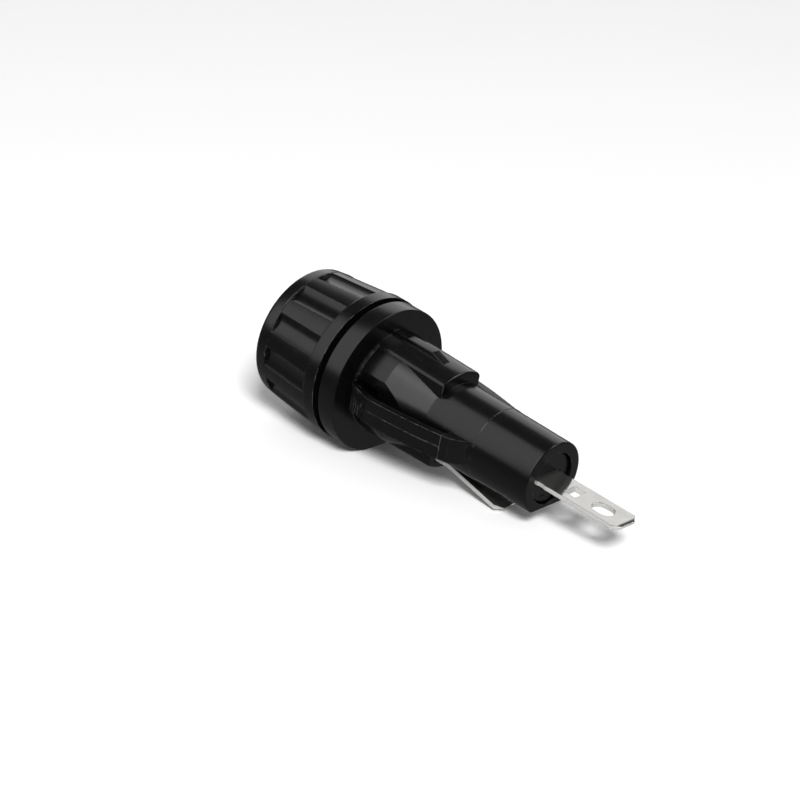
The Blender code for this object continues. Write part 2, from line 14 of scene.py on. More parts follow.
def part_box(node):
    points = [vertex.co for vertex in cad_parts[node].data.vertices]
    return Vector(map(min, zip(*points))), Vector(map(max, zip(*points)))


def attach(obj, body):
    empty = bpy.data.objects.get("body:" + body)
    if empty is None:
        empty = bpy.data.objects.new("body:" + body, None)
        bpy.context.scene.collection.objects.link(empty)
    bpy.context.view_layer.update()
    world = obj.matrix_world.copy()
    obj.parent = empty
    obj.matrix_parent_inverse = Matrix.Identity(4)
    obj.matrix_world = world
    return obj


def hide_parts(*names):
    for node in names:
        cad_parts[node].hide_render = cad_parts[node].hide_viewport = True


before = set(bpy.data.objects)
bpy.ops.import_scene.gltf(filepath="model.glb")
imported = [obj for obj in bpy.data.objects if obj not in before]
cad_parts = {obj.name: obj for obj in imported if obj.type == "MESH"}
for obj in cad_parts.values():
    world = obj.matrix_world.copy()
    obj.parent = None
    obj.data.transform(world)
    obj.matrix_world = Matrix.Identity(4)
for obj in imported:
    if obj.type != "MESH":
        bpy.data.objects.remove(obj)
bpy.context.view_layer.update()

MM = 0.001
# Segments round a turned piece, and a reach that is past every side of the body.
ROUND = 128
FAR = 16 * MM

# Places read from the CAD model.
CAP_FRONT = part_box("cap_knob")[0][0]
CAP_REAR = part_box("cap_knob")[1][0]
COLLAR_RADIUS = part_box("cap_knob")[1][2]
FLANGE_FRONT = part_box("holder_body")[0][0]
FLANGE_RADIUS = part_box("holder_body")[1][2]
TAIL_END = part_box("holder_body")[1][0]
ARM_HALF_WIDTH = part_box("snap_arm_right")[1][2]
ARM_TIP_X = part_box("snap_arm_right")[0][0]
REAR_TAB_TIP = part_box("rear_terminal")[1][0]
SIDE_TAB_TIP_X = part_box("side_terminal")[1][0]
TAB_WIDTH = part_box("rear_terminal")[1][1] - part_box("rear_terminal")[0][1]
REAR_TAB_Y = (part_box("rear_terminal")[1][1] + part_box("rear_terminal")[0][1]) / 2
PLUG_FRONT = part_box("rear_plug")[0][0]
PLUG_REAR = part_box("rear_plug")[1][0]
PLUG_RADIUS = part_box("rear_plug")[1][2]

TAB_THICKNESS = 0.8 * MM
THROUGH_TAB = 2 * MM
BLADE_EDGE = 0.09 * MM
REAR_TAB_Z = 0.14 * MM
KEY_START = -0.3 * MM
KEY_END = 16.65 * MM
KEY_HALF_WIDTH = 4.76 * MM
SIDE_FLAT_Y = 8.33 * MM
TAIL_FLAT_Z = -5.56 * MM
KEY_FOOT_Z = 5.6 * MM
OBJECT_MIDDLE = Vector((0.015, 0.0, 0.0))

# The cap: grip grooves, where the first of them stands in degrees, and the lands between them.
GRIP_GROOVES = 12
GRIP_TURN = 1.7
RIM_REAR = -18.93 * MM
COLLAR_FRONT = -7.6 * MM
LAND_FRONT_RADIUS = 13.11 * MM
LAND_REAR_RADIUS = 14.1 * MM


# ---- mesh helpers --------------------------------------------------------------------------


def finish_mesh(name, bm):
    """The object of a finished mesh, with doubled points merged and its faces turned outwards."""
    same_place = 1e-7
    bmesh.ops.remove_doubles(bm, verts=bm.verts, dist=same_place)
    bmesh.ops.recalc_face_normals(bm, faces=bm.faces)
    mesh = bpy.data.meshes.new(name)
    bm.to_mesh(mesh)
    bm.free()
    made = bpy.data.objects.new(name, mesh)
    bpy.context.scene.collection.objects.link(made)
    return made


def turned(name, profile, segments=ROUND):
    """A solid turned about X from (x, radius) points, closed unless it ends on the axis."""
    bm = bmesh.new()
    verts = [bm.verts.new((x, 0.0, r)) for x, r in profile]
    pairs = list(zip(verts, verts[1:]))
    if profile[0][1] > 0.0 or profile[-1][1] > 0.0:
        pairs.append((verts[-1], verts[0]))
    edges = [bm.edges.new(pair) for pair in pairs]
    bmesh.ops.spin(
        bm,
        geom=verts + edges,
        cent=(0, 0, 0),
        axis=(1, 0, 0),
        angle=2 * pi,
        steps=segments,
        use_merge=True,
    )
    return finish_mesh(name, bm)


def lofted(name, sections):
    """A solid between outlines across X: (x, [(y, z), ...]) with equal point counts."""
    bm = bmesh.new()
    rings = [[bm.verts.new((x, y, z)) for y, z in outline] for x, outline in sections]
    for ring, following in zip(rings, rings[1:]):
        for i, vert in enumerate(ring):
            j = (i + 1) % len(ring)
            bm.faces.new((vert, ring[j], following[j], following[i]))
    bm.faces.new(rings[0])
    bm.faces.new(rings[-1])
    return finish_mesh(name, bm)


def extruded(name, outline, low, high, axis="Z"):
    """An (x, y) outline extruded along Z, or an (x, z) outline extruded along Y."""

    def place(a, b, c):
        return (a, b, c) if axis == "Z" else (a, c, b)

    bm = bmesh.new()
    face = bm.faces.new([bm.verts.new(place(a, b, low)) for a, b in outline])
    moved = bmesh.ops.extrude_face_region(bm, geom=[face])["geom"]
    top = [v for v in moved if isinstance(v, bmesh.types.BMVert)]
    bmesh.ops.translate(bm, vec=Vector(place(0.0, 0.0, high - low)), verts=top)
    return finish_mesh(name, bm)


def block(low, high):
    across = [(low[1], low[2]), (high[1], low[2]), (high[1], high[2]), (low[1], high[2])]
    return lofted("cutter", [(low[0], across), (high[0], across)])


def side_block(side, x_low, x_high, y_near, y_far, half_height):
    """A block on one side of the body: at -Y for side -1 and at +Y for side 1."""
    y_low, y_high = sorted((side * y_near, side * y_far))
    return block((x_low, y_low, -half_height), (x_high, y_high, half_height))


def shape(target, operation, *tools):
    """Adds the tools to the target or cuts them from it, and removes them."""
    for tool in tools:
        step = target.modifiers.new("shape", "BOOLEAN")
        step.operation = operation
        step.solver = "EXACT"
        step.object = tool
    graph = bpy.context.evaluated_depsgraph_get()
    result = bpy.data.meshes.new_from_object(target.evaluated_get(graph))
    target.modifiers.clear()
    target.data = result
    for tool in tools:
        bpy.data.objects.remove(tool, do_unlink=True)
    return target


def arc(radius, start_degrees, end_degrees, steps):
    """(y, z) points on a circle about X, by angle from +Z towards +Y."""
    turn = end_degrees - start_degrees
    angles = [radians(start_degrees + turn * i / steps) for i in range(steps + 1)]
    return [(radius * sin(a), radius * cos(a)) for a in angles]


def sector(x_low, x_high, inner, outer, middle_degrees, half_degrees, steps=16):
    """Part of a ring about X, between two radii and between two angles from +Z."""
    start = middle_degrees - half_degrees
    end = middle_degrees + half_degrees
    outline = arc(outer, start, end, steps) + arc(inner, end, start, steps)
    return lofted("cutter", [(x_low, outline), (x_high, outline)])


def strip(name, path, thickness, y_low, y_high):
    """A bent flat strip along an (x, z) middle line, with mitred corners."""
    sides = []
    for i, (x, z) in enumerate(path):
        before = path[max(i - 1, 0)]
        after = path[min(i + 1, len(path) - 1)]
        out = atan2(after[1] - z, after[0] - x) if i < len(path) - 1 else 0.0
        into = atan2(z - before[1], x - before[0]) if i else out
        if i == len(path) - 1:
            out = into
        turn = (out - into + pi) % (2 * pi) - pi
        normal = into + turn / 2 + pi / 2
        reach = thickness / 2 / cos(turn / 2)
        sides.append((reach * cos(normal), reach * sin(normal)))
    upper = [(x + dx, z + dz) for (x, z), (dx, dz) in zip(path, sides)]
    lower = [(x - dx, z - dz) for (x, z), (dx, dz) in zip(path, sides)]
    return extruded(name, upper + lower[::-1], y_low, y_high, axis="Y")


def rounded_path(path, radius, steps=6):
    """The (x, z) path with each inner corner replaced by a short curve."""
    points = [path[0]]
    for before, corner, after in zip(path, path[1:], path[2:]):
        corner_at = Vector(corner)
        into = (corner_at - Vector(before)).normalized()
        out = (Vector(after) - corner_at).normalized()
        half_turn = into.angle(out) / 2
        back = radius * sin(half_turn) / cos(half_turn)
        start = corner_at - into * back
        end = corner_at + out * back
        for i in range(steps + 1):
            t = i / steps
            point = start * (1 - t) ** 2 + corner_at * 2 * t * (1 - t) + end * t**2
            points.append(tuple(point))
    return points + [path[-1]]


def soften(piece, radius, chosen):
    """Rounds the corners whose edges' middle points are chosen, before the piece is cut."""
    corner = radians(15)
    bm = bmesh.new()
    bm.from_mesh(piece.data)
    edges = []
    for edge in bm.edges:
        middle = (edge.verts[0].co + edge.verts[1].co) / 2
        if edge.calc_face_angle(0.0) > corner and chosen(middle):
            edges.append(edge)
    bmesh.ops.bevel(bm, geom=edges, offset=radius, segments=6, profile=0.5, affect="EDGES")
    bm.to_mesh(piece.data)
    bm.free()
    return piece


def join(target, *others):
    """Puts the other meshes into the target's, as loose parts of one piece."""
    bm = bmesh.new()
    bm.from_mesh(target.data)
    for other in others:
        bm.from_mesh(other.data)
        bpy.data.objects.remove(other, do_unlink=True)
    bm.to_mesh(target.data)
    bm.free()
    return target


def dress(piece, finish, body, stands_for=(), edge=0.0, sharp=32):
    """Shading, rounded edges, material and body of a finished piece.

    Faces that meet at more than sharp degrees stay apart, and are rounded where edge says how far."""
    piece.data.materials.clear()
    piece.data.materials.append(finish)
    piece.data.shade_smooth()
    piece.data.set_sharp_from_angle(angle=radians(sharp))
    if edge:
        bevel = piece.modifiers.new("edges", "BEVEL")
        bevel.width = edge
        bevel.segments = 3
        bevel.limit_method = "ANGLE"
        bevel.angle_limit = radians(sharp)
        bevel.use_clamp_overlap = True
        bevel.harden_normals = True
    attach(piece, body)
    if stands_for:
        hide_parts(*stands_for)
    return piece


# ---- materials -----------------------------------------------------------------------------


class Nodes:
    """A short way to add and link shader nodes in one material."""

    def __init__(self, name, roughness, metallic=0.0, transmission=0.0):
        self.material = bpy.data.materials.new(name)
        self.material.use_nodes = True
        self.tree = self.material.node_tree
        self.shader = self.tree.nodes["Principled BSDF"]
        self.shader.inputs["Roughness"].default_value = roughness
        self.shader.inputs["Metallic"].default_value = metallic
        self.shader.inputs["Transmission Weight"].default_value = transmission
        self.place = self.add("ShaderNodeTexCoord").outputs["Object"]

    def add(self, kind, **values):
        node = self.tree.nodes.new(kind)
        for key, value in values.items():
            setattr(node, key, value)
        return node

    def link(self, source, target):
        self.tree.links.new(source, target)

    def noise(self, per_mm, stretch=(1, 1, 1), detail=4.0, roughness=0.55):
        """Noise with about per_mm features in a millimetre, stretched along an axis."""
        scale = self.add("ShaderNodeMapping")
        scale.inputs["Scale"].default_value = [per_mm / MM * s for s in stretch]
        self.link(self.place, scale.inputs["Vector"])
        noise = self.add("ShaderNodeTexNoise")
        noise.inputs["Scale"].default_value = 1.0
        noise.inputs["Detail"].default_value = detail
        noise.inputs["Roughness"].default_value = roughness
        self.link(scale.outputs["Vector"], noise.inputs["Vector"])
        return noise.outputs["Fac"]

    def ramp(self, source, low, high, at=(0.0, 1.0)):
        """Maps a value from between the two places in at to two greys or two colours."""
        ramp = self.add("ShaderNodeValToRGB")
        ends = ramp.color_ramp.elements
        for end, position, value in zip(ends, at, (low, high)):
            end.position = position
            end.color = (*value, 1.0) if isinstance(value, tuple) else (value, value, value, 1.0)
        self.link(source, ramp.inputs["Fac"])
        return ramp.outputs["Color"]

    def combine(self, first, second, operation="ADD"):
        """The sum of two values, or their product where the operation is MULTIPLY."""
        result = self.add("ShaderNodeMath", operation=operation)
        self.link(first, result.inputs[0])
        self.link(second, result.inputs[1])
        return result.outputs[0]

    def rounded_edges(self, radius):
        """The surface's normal as it would be with its edges rounded to the radius."""
        bevel = self.add("ShaderNodeBevel", samples=6)
        bevel.inputs["Radius"].default_value = radius
        return bevel.outputs["Normal"]

    def bump(self, height, distance, strength=1.0, normal=None):
        """Fine relief on the surface, or on the given normal."""
        bump = self.add("ShaderNodeBump")
        bump.inputs["Distance"].default_value = distance
        bump.inputs["Strength"].default_value = strength
        self.link(height, bump.inputs["Height"])
        if normal:
            self.link(normal, bump.inputs["Normal"])
        self.link(bump.outputs["Normal"], self.shader.inputs["Normal"])


def black_plastic():
    """Satin moulded plastic: a faint mottle, dust and scuffs, and rounded edges. The edges that
    stand out are slightly worn, and those in a corner hardly at all."""
    made = Nodes("black_plastic", roughness=0.34)
    rounded = made.rounded_edges(radius=0.16 * MM)
    flat = made.add("ShaderNodeNewGeometry").outputs["Normal"]
    agreement = made.add("ShaderNodeVectorMath", operation="DOT_PRODUCT")
    made.link(rounded, agreement.inputs[0])
    made.link(flat, agreement.inputs[1])
    on_edge = made.ramp(agreement.outputs["Value"], low=1.0, high=0.0, at=(0.86, 0.985))
    worn = made.noise(per_mm=0.8, detail=5.0, roughness=0.7)
    patches = made.ramp(worn, low=0.0, high=0.13, at=(0.46, 0.62))
    nearby = made.add("ShaderNodeAmbientOcclusion", samples=6)
    nearby.inputs["Distance"].default_value = 0.7 * MM
    exposed = made.ramp(nearby.outputs["AO"], low=0.12, high=1.0, at=(0.72, 0.93))
    wear = made.combine(made.combine(on_edge, patches, "MULTIPLY"), exposed, "MULTIPLY")
    dust = made.noise(per_mm=2.4, detail=1.0)
    specks = made.ramp(dust, low=0.0018, high=0.03, at=(0.75, 0.82))
    made.link(made.combine(wear, specks), made.shader.inputs["Base Color"])
    mottle = made.noise(per_mm=0.35)
    scuffs = made.noise(per_mm=0.9, stretch=(0.12, 1.6, 1.6), detail=6.0, roughness=0.7)
    smooth = made.ramp(mottle, low=0.2, high=0.25, at=(0.3, 0.7))
    scuffed = made.ramp(scuffs, low=0.0, high=0.1, at=(0.6, 0.8))
    made.link(made.combine(smooth, scuffed), made.shader.inputs["Roughness"])
    grain = made.noise(per_mm=5.0, detail=2.0)
    made.bump(grain, distance=0.0012 * MM, strength=0.4, normal=rounded)
    return made.material


def plated(name, light, dark, roughness, streak, sheared=0.0):
    """Plated sheet or turned metal with rolling streaks and small stains.

    Where sheared isn't 0, the sheet's upright faces are rougher by it and mirror less, as its cut
    edges do, and all edges are rounded."""
    made = Nodes(name, roughness, metallic=1.0)
    stain = made.noise(per_mm=0.4, detail=6.0, roughness=0.65)
    streaks = made.noise(per_mm=3.0, stretch=streak, detail=5.0)
    tint = made.ramp(stain, low=dark, high=light, at=(0.28, 0.62))
    made.link(tint, made.shader.inputs["Base Color"])
    dull = made.ramp(stain, low=roughness + 0.05, high=roughness - 0.03, at=(0.3, 0.7))
    grooves = made.ramp(streaks, low=0.0, high=0.05, at=(0.4, 0.8))
    rough = made.combine(dull, grooves)
    if sheared:
        facing = made.add("ShaderNodeSeparateXYZ")
        made.link(made.add("ShaderNodeTexCoord").outputs["Normal"], facing.inputs["Vector"])
        level = made.add("ShaderNodeMath", operation="ABSOLUTE")
        made.link(facing.outputs["Z"], level.inputs[0])
        steep = (0.3, 0.6)
        rough = made.combine(rough, made.ramp(level.outputs[0], low=sheared, high=0.0, at=steep))
        metal = made.ramp(level.outputs[0], low=0.45, high=0.96, at=steep)
        made.link(metal, made.shader.inputs["Metallic"])
    made.link(rough, made.shader.inputs["Roughness"])
    normal = made.rounded_edges(radius=0.28 * MM) if sheared else None
    made.bump(stain, distance=0.004 * MM, strength=0.3, normal=normal)
    return made.material


def fuse_glass():
    """Clear glass with a faint haze."""
    made = Nodes("fuse_glass", roughness=0.04, transmission=0.95)
    made.shader.inputs["IOR"].default_value = 1.5
    haze = made.noise(per_mm=0.3)
    tint = made.ramp(haze, low=(0.9, 0.94, 0.92), high=(0.97, 0.99, 0.98))
    made.link(tint, made.shader.inputs["Base Color"])
    made.link(made.ramp(haze, low=0.02, high=0.09), made.shader.inputs["Roughness"])
    return made.material


def floor_finish():
    """Plain pale paper."""
    made = Nodes("floor", roughness=0.75)
    tone = made.noise(per_mm=0.01)
    made.link(made.ramp(tone, low=0.93, high=0.95), made.shader.inputs["Base Color"])
    return made.material


# ---- the moulded body ----------------------------------------------------------------------


def key(sign):
    """The broad key above the barrel for sign 1, or the one below it for sign -1."""
    front_radius = 9.88 * MM
    rear_radius = 9.42 * MM
    corner_radius = 0.38 * MM
    crown = 8.0 * MM
    sections = []
    for x, radius in ((KEY_START, front_radius), (KEY_END, rear_radius)):
        half = degrees(asin(KEY_HALF_WIDTH / radius))
        points = arc(radius, -half, half, steps=21)
        points += [(KEY_HALF_WIDTH, KEY_FOOT_Z), (-KEY_HALF_WIDTH, KEY_FOOT_Z)]
        sections.append((x, [(y * sign, z * sign) for y, z in points]))
    made = lofted("key", sections)
    return soften(made, corner_radius, lambda middle: abs(middle.z) > crown and middle.x > MM)


def rib():
    """The long rib on the top key: a low stretch, a high one, and a slope down to a blunt end."""
    foot = 8.0 * MM
    low = 10.37 * MM
    top = 10.57 * MM
    blunt = 9.4 * MM
    step_start = 3.07 * MM
    step_end = 3.47 * MM
    slope_start = 9.7 * MM
    end = 12.93 * MM
    half_width = 0.96 * MM
    corner_radius = 0.13 * MM
    crown = 9.0 * MM
    outline = [
        (KEY_START, foot),
        (KEY_START, low),
        (step_start, low),
        (step_end, top),
        (slope_start, top),
        (end, blunt),
        (end, foot),
    ]
    made = extruded("rib", outline, -half_width, half_width, axis="Y")
    return soften(made, corner_radius, lambda middle: middle.z > crown and middle.x > MM)


def arm_root(side):
    """The bevelled block behind a snap arm."""
    outline = [(22.0, 6.3), (22.0, 9.7), (23.6, 9.27), (25.9, 7.33), (26.3, 6.3)]
    points = [(x * MM, side * y * MM) for x, y in outline]
    return extruded("arm_root", points, -ARM_HALF_WIDTH, ARM_HALF_WIDTH)


def body_profile():
    """Half the body's section, as (x, radius) points round its outside and back through its bore."""
    foot = 9.8 * MM
    barrel = 9.6 * MM
    tail = 7.3 * MM
    tail_end_radius = 6.95 * MM
    # A small step in the tail, which shows as a ring.
    ring = 27.1 * MM
    step = 0.07 * MM
    # The inside, from the rear: the plug's seat, the bores, the lugs' groove and the cap's socket.
    seat = 4.95 * MM
    tail_bore = 4.35 * MM
    front_bore = 5.05 * MM
    groove = 9.3 * MM
    socket = 8.4 * MM
    seat_floor = 36.2 * MM
    taper_rear = 13.7 * MM
    taper_front = 13.0 * MM
    groove_rear = -0.6 * MM
    groove_front = -2.6 * MM
    flange = [
        (FLANGE_FRONT, socket),
        (FLANGE_FRONT, FLANGE_RADIUS),
        (0.0, FLANGE_RADIUS),
        (0.0, foot),
    ]
    foot_end = 0.36 * MM
    barrel_start = 0.5 * MM
    cone_start = 6.3 * MM
    cone_end = 15.8 * MM
    middle = [
        (foot_end, foot),
        (barrel_start, barrel),
        (cone_start, barrel),
        (cone_end, tail),
        (ring, tail - step),
    ]
    end = [(ring + step, tail - 2 * step), (TAIL_END, tail_end_radius), (TAIL_END, seat)]
    inside = [
        (seat_floor, seat),
        (seat_floor, tail_bore),
        (taper_rear, tail_bore),
        (taper_front, front_bore),
        (groove_rear, front_bore),
        (groove_rear, groove),
        (groove_front, groove),
        (groove_front, socket),
    ]
    flange_edge = rounded_path(flange, radius=0.2 * MM, steps=12)
    end_edge = rounded_path(end, radius=0.3 * MM, steps=12)
    return flange_edge + middle + end_edge + inside


def body_cuts():
    """Cutters for what isn't turned: the flat under the tail, and the openings in the barrel."""
    off_key = 0.02 * MM
    past_tail = 42 * MM
    flat = block((KEY_END + off_key, -FAR, -FAR), (past_tail, FAR, TAIL_FLAT_Z))
    entry_low = -5 * MM
    entry_high = -1.6 * MM
    entry_inner = 7.5 * MM
    entry_outer = 9.15 * MM
    entry_half_degrees = 19
    lug_entries = [
        sector(entry_low, entry_high, entry_inner, entry_outer, middle, entry_half_degrees)
        for middle in (0, 180)
    ]
    tab_half = TAB_WIDTH / 2 + 0.3 * MM
    tab_slot = block((7.0 * MM, -tab_half, -7.65 * MM), (18.0 * MM, tab_half, -6.2 * MM))
    contact_room = block((1.6 * MM, -tab_half, -7.62 * MM), (9.0 * MM, tab_half, -4.0 * MM))
    pocket_low = 0.03 * MM
    pocket_high = 5.3 * MM
    pocket_near = 6.7 * MM
    pocket_far = 11.5 * MM
    pocket_half = 2.7 * MM
    arm_pockets = [
        side_block(side, pocket_low, pocket_high, pocket_near, pocket_far, pocket_half)
        for side in (-1, 1)
    ]
    return [flat, *lug_entries, tab_slot, contact_room, *arm_pockets]


def body_shell(finish):
    """The body's moulding: a turned shell with flats at its sides, keys, rib and arm roots."""
    flat_start = 0.52 * MM
    flat_end = 12.9 * MM
    shell = turned("body_shell", body_profile())
    flats = [side_block(s, flat_start, flat_end, SIDE_FLAT_Y, FAR, FAR) for s in (-1, 1)]
    shape(shell, "DIFFERENCE", *flats)
    shape(shell, "UNION", key(-1), key(1), rib(), arm_root(-1), arm_root(1))
    shape(shell, "DIFFERENCE", *body_cuts())
    return dress(shell, finish, "holder", ["holder_body"], sharp=12)


def arm_outline(lift=0.0):
    """A snap arm's (x, y) outline: a finely toothed ramp, a bulged back and an inner side."""
    tip = (ARM_TIP_X, 10.3 * MM)
    crest = (5.7 * MM, 11.86 * MM)
    end = (21.98 * MM, 9.7 * MM)
    teeth = 6
    tooth = 0.13 * MM
    tooth_slope = 0.15
    bulge = 0.37 * MM
    thickness = 1.3 * MM
    tip_thickness = 0.9 * MM
    run = (crest[0] - tip[0]) / (teeth + 1)
    rise = (crest[1] - tip[1]) / (teeth + 1)
    outer = [(tip[0], tip[1] + lift)]
    for i in range(teeth):
        x = tip[0] + run * (i + 1)
        y = tip[1] + rise * (i + 1) + lift
        outer.append((x, y))
        outer.append((x + tooth_slope * run, y - tooth))
    back = []
    steps = 20
    for i in range(steps + 1):
        along = i / steps
        x = crest[0] + (end[0] - crest[0]) * along
        y = crest[1] + (end[1] - crest[1]) * along
        back.append((x, y + 4 * bulge * along * (1 - along)))
    outer += [(x, y + lift) for x, y in back]
    inner = [(x, y - thickness) for x, y in reversed(back)]
    inner.append((tip[0], tip[1] - tip_thickness))
    return outer + inner


def arm_skin(side, finish):
    """A snap arm with the thin mould line that runs down the middle of its back."""
    line_height = 0.035 * MM
    line_half_width = 0.05 * MM
    name = "arm_left" if side < 0 else "arm_right"
    wide = [(x, side * y) for x, y in arm_outline()]
    line = [(x, side * y) for x, y in arm_outline(line_height)]
    skin = extruded(f"{name}_skin", wide, -ARM_HALF_WIDTH, ARM_HALF_WIDTH)
    join(skin, extruded("mould_line", line, -line_half_width, line_half_width))
    node = "snap_arm_left" if side < 0 else "snap_arm_right"
    return dress(skin, finish, name, [node], sharp=12)


def plug_face(finish):
    """The plug in the end face, with the tab's slot and a small ejector ring."""
    plug = turned(
        "plug_face",
        [(PLUG_FRONT, 0.0), (PLUG_FRONT, PLUG_RADIUS), (PLUG_REAR, PLUG_RADIUS), (PLUG_REAR, 0.0)],
    )
    room = 0.25 * MM
    half = TAB_WIDTH / 2 + room
    rise = TAB_THICKNESS / 2 + room
    slot = block(
        (PLUG_FRONT - MM, REAR_TAB_Y - half, REAR_TAB_Z - rise),
        (PLUG_REAR + MM, REAR_TAB_Y + half, REAR_TAB_Z + rise),
    )
    ring_outer = 0.9 * MM
    ring_inner = 0.7 * MM
    ring_middle = (0.0, -1.2 * MM, -2.6 * MM)
    floor_x = PLUG_REAR - 0.15 * MM
    above = PLUG_REAR + MM
    profile = [(floor_x, ring_outer), (above, ring_outer), (above, ring_inner), (floor_x, ring_inner)]
    ring = turned("ring", profile, segments=32)
    ring.data.transform(Matrix.Translation(ring_middle))
    shape(plug, "DIFFERENCE", slot, ring)
    return dress(plug, finish, "holder", ["rear_plug"], edge=0.06 * MM)


# ---- terminals -----------------------------------------------------------------------------


def tip_corners(tip, y_middle, z_low, z_high):
    """Wedges that take the corners off the tip of a tab. Each reaches past the corner's cut."""
    tools = []
    cut_length = 1.2 * MM
    cut_width = 1.45 * MM
    over = MM
    over_width = over * cut_width / cut_length
    for side in (-1, 1):
        edge = y_middle + side * TAB_WIDTH / 2
        outline = [
            (tip - cut_length - over, edge + side * over_width),
            (tip + over, edge - side * (cut_width + over_width)),
            (tip + over, edge + side * over_width),
        ]
        tools.append(extruded("corner", outline, z_low, z_high))
    return tools


def coined_tip(tip, middle, slope=0.0):
    """Wedges that thin the last stretch of a tab, above and below its middle line."""
    tools = []
    length = 0.9 * MM
    thinned = 0.26 * MM
    past_tip = 0.1 * MM
    height = 0.5 * MM
    reach = 6 * MM
    for side in (-1, 1):
        edge = side * TAB_THICKNESS / 2
        outline = [
            (tip - length, middle + slope * length + edge),
            (tip + past_tip, middle + edge - side * thinned),
            (tip + past_tip, middle + edge + side * height),
            (tip - length, middle + slope * length + edge + side * height),
        ]
        tools.append(extruded("coin", outline, -reach, reach, axis="Y"))
    return tools


def obround(x_low, x_high, y_middle, half_width):
    """The cutter of an eye with straight sides and round ends."""
    steps = 24
    outline = []
    for centre, start in ((x_high - half_width, -90), (x_low + half_width, 90)):
        for i in range(steps + 1):
            angle = radians(start + 180 * i / steps)
            outline.append((centre + half_width * cos(angle), y_middle + half_width * sin(angle)))
    return extruded("eye", outline, -THROUGH_TAB, THROUGH_TAB)


def tapered_window():
    """The cutter of the locking window, which narrows from the blade's top to its underside."""
    top = (Vector((44.5, -2.17)) * MM, Vector((46.9, 0.72)) * MM)
    bottom = (Vector((44.85, -1.65)) * MM, Vector((46.6, 0.5)) * MM)
    # How far the cutter reaches past each face, as a part of the thickness.
    over = 0.25
    bm = bmesh.new()
    rings = []
    for depth in (-over, 1 + over):
        low, high = [above.lerp(below, depth) for above, below in zip(top, bottom)]
        z = REAR_TAB_Z + TAB_THICKNESS * (0.5 - depth)
        corners = [(low.x, low.y), (high.x, low.y), (high.x, high.y), (low.x, high.y)]
        rings.append([bm.verts.new((x, y, z)) for x, y in corners])
    upper, lower = rings
    bm.faces.new(upper)
    bm.faces.new(lower)
    for i, corner in enumerate(upper):
        j = (i + 1) % len(upper)
        bm.faces.new((corner, upper[j], lower[j], lower[i]))
    return finish_mesh("window", bm)


def rear_blade(finish):
    """The rear tab: a flat blade with an eye and a locking window, folded inside the tail."""
    leg = 34.87 * MM
    leg_top = 3.2 * MM
    root = 36.73 * MM
    low = -3.1 * MM
    path = [(REAR_TAB_TIP, REAR_TAB_Z), (root, REAR_TAB_Z), (root, low), (leg, low), (leg, leg_top)]
    y_low = REAR_TAB_Y - TAB_WIDTH / 2
    blade = strip("rear_blade", path, TAB_THICKNESS, y_low, y_low + TAB_WIDTH)
    leg_front = 33 * MM
    leg_rear = 37.3 * MM
    leg_half_width = 1.6 * MM
    past_leg = 6 * MM
    leg_sides = [
        side_block(side, leg_front, leg_rear, leg_half_width, past_leg, past_leg)
        for side in (-1, 1)
    ]
    hole_radius = 1.3 * MM
    hole_start = 33.8 * MM
    hole_end = 35.6 * MM
    hole = [(hole_start, 0.0), (hole_start, hole_radius), (hole_end, hole_radius), (hole_end, 0.0)]
    notch_low = (40.0 * MM, y_low - MM, -THROUGH_TAB)
    notch_high = (41.3 * MM, y_low + 0.16 * MM, THROUGH_TAB)
    shape(
        blade,
        "DIFFERENCE",
        *leg_sides,
        turned("hole", hole, segments=48),
        tapered_window(),
        block(notch_low, notch_high),
        obround(x_low=50.0 * MM, x_high=54.3 * MM, y_middle=-0.81 * MM, half_width=1.59 * MM),
        *tip_corners(REAR_TAB_TIP, REAR_TAB_Y, -THROUGH_TAB, THROUGH_TAB),
        *coined_tip(REAR_TAB_TIP, REAR_TAB_Z),
    )
    return dress(blade, finish, "holder", ["rear_terminal"], edge=BLADE_EDGE)


def side_blade(finish):
    """The side tab: bowed to the contact ring inside, bent off the tail outside."""
    level = -6.93
    bend = 19.7
    tip = (32.4 * MM, -9.62 * MM)
    path = [(2.2, -5.95), (4.2, -5.47), (6.2, -6.1), (8.0, level), (bend, level)]
    points = [(x * MM, z * MM) for x, z in path] + [tip]
    half = TAB_WIDTH / 2
    inner_radius = 1.2 * MM
    blade = strip("side_blade", rounded_path(points, inner_radius), TAB_THICKNESS, -half, half)
    slope = (level * MM - tip[1]) / (tip[0] - bend * MM)
    below_tip = -12 * MM
    above_tip = -7.5 * MM
    shape(
        blade,
        "DIFFERENCE",
        *tip_corners(tip[0], 0.0, below_tip, above_tip),
        *coined_tip(tip[0], tip[1], slope),
    )
    return dress(blade, finish, "holder", ["side_terminal"], edge=BLADE_EDGE)


# ---- cap -----------------------------------------------------------------------------------


def grip_groove(index):
    """The cutter of one grip groove: a leaning round bar that follows the lands."""
    turn = radians(GRIP_TURN + 360 / GRIP_GROOVES * index)
    radius = 4.6 * MM
    half_chord = 2.0 * MM
    sides = 72
    inset = 0.03 * MM
    front = (RIM_REAR + inset, LAND_FRONT_RADIUS)
    rear = (COLLAR_FRONT - inset, LAND_REAR_RADIUS)
    sections = []
    for x, land in (front, rear):
        centre = (land**2 - half_chord**2) ** 0.5 + (radius**2 - half_chord**2) ** 0.5
        outline = []
        for i in range(sides):
            angle = 2 * pi * i / sides
            y = radius * sin(angle)
            z = centre + radius * cos(angle)
            outline.append((y * cos(turn) - z * sin(turn), y * sin(turn) + z * cos(turn)))
        sections.append((x, outline))
    return lofted("groove", sections)


